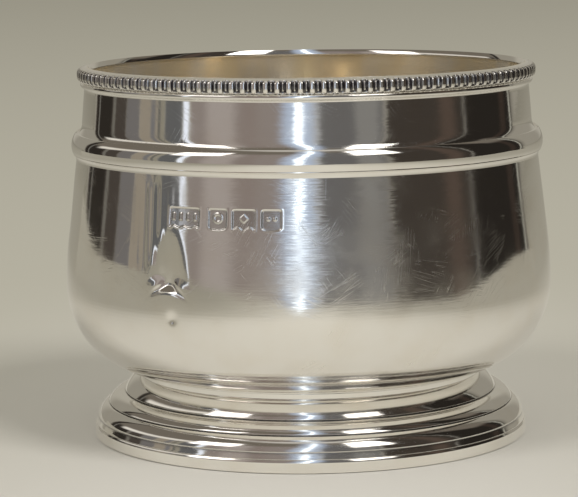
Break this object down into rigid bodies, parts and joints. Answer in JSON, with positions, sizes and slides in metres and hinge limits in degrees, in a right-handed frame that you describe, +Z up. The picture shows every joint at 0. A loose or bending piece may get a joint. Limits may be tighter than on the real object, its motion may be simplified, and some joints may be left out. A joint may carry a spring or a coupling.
{
  "type": "sugar bowl",
  "caption": "Round open silver sugar bowl with a full belly, upright collar, girdle wire, reeded border and stepped spreading foot.",
  "frame": {"origin": "centre of the ring that the bowl stands on, at the level of the table", "axes": "+Z up along the axis of revolution, +X to the right and +Y away from someone facing the row of punch marks"},
  "size_m": [0.096, 0.096, 0.0732],
  "materials": {
    "bowl_silver": "polished",
    "collar_silver": "polished",
    "border_silver": "polished, darkened in the recesses",
    "wire_silver": "polished",
    "foot_silver": "polished, lightly worn"
  },
  "bodies": {
    "root": {"bowl_body": "bowl_silver", "collar_band": "collar_silver", "mouth_lip": "wire_silver", "rim_border": "border_silver", "rim_bead": "wire_silver", "girdle_wire": "wire_silver", "girdle_fillet": "wire_silver", "foot_collet": "foot_silver", "foot_shell": "foot_silver", "foot_rim": "foot_silver"}
  },
  "joints": []
}
